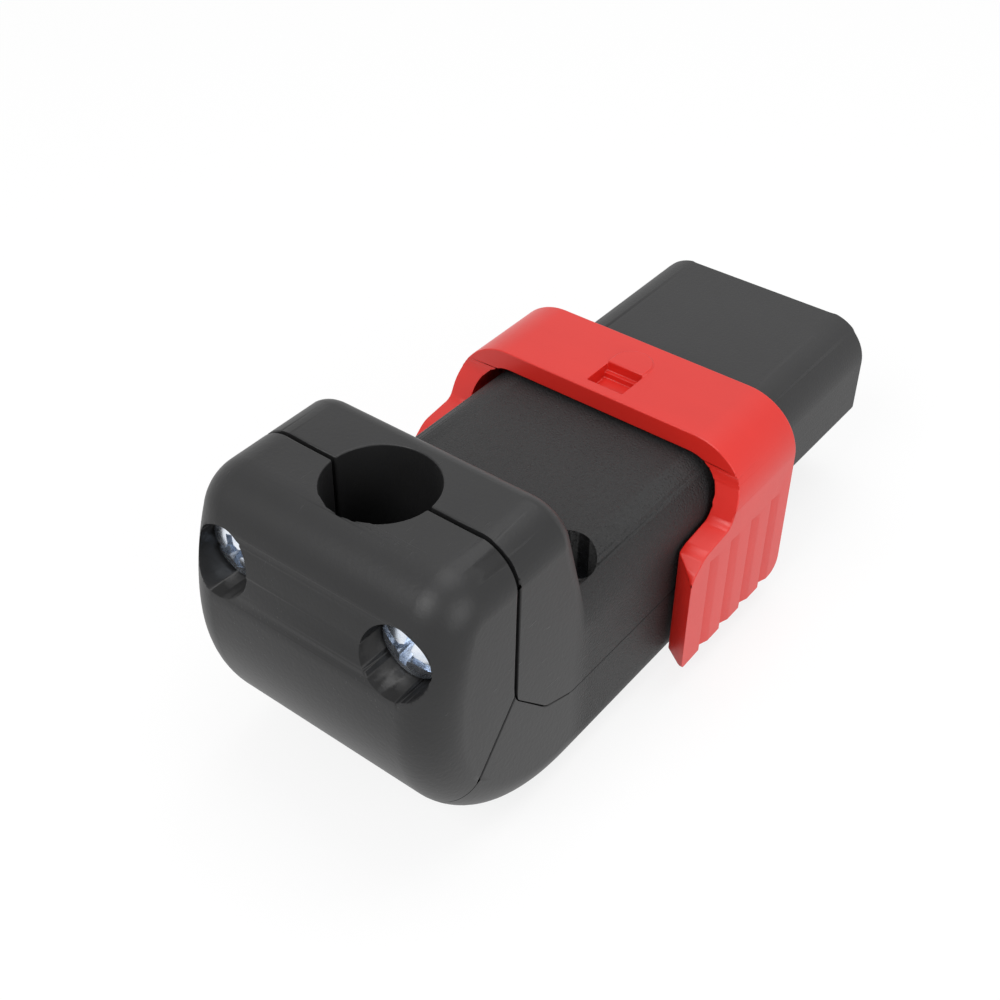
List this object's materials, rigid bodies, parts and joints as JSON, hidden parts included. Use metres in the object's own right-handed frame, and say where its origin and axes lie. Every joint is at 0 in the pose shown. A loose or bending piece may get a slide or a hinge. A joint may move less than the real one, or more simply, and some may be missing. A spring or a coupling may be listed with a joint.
{
  "type": "right-angle rewireable appliance power connector",
  "caption": "Right-angle rewireable power connector with keyed nose, three flat contact slots, sliding release lock and split cable clamp.",
  "frame": {"origin": "on the underside, under the middle of the overall box", "axes": "+Y out of the nose, +Z towards the cable hole, +X across the width"},
  "size_m": [0.031, 0.069, 0.0297],
  "materials": {
    "housing_black": "fine spark texture",
    "nose_black": "smooth satin",
    "slider_red": "smooth satin",
    "zinc_screw": "bright zinc plate",
    "brass_terminal": "machined",
    "bronze_socket": "pressed strip",
    "spring_steel": "satin"
  },
  "bodies": {
    "housing": {"rear_cover": "housing_black", "upper_housing": "housing_black", "lower_housing": "housing_black", "front_insert": "nose_black", "cover_screw_left": "zinc_screw", "cover_screw_right": "zinc_screw", "housing_screw_left": "zinc_screw", "housing_screw_right": "zinc_screw", "line_socket": "bronze_socket", "neutral_socket": "bronze_socket", "earth_socket": "bronze_socket", "line_terminal": "brass_terminal", "neutral_terminal": "brass_terminal", "earth_terminal": "brass_terminal", "line_terminal_screw": "zinc_screw", "neutral_terminal_screw": "zinc_screw", "earth_terminal_screw": "zinc_screw", "earth_lock_clip": "spring_steel", "slider_spring": "spring_steel"},
    "slider": {"lock_slider": "slider_red"}
  },
  "joints": [
    {"name": "slider_release", "type": "slide", "parent": "housing", "child": "slider", "axis": [0, -1, 0], "range_m": [0, 0.0032], "stiffness_N_per_m": 1800, "springref_m": -0.0008, "deforming": ["slider_spring", "earth_lock_clip"]}
  ]
}
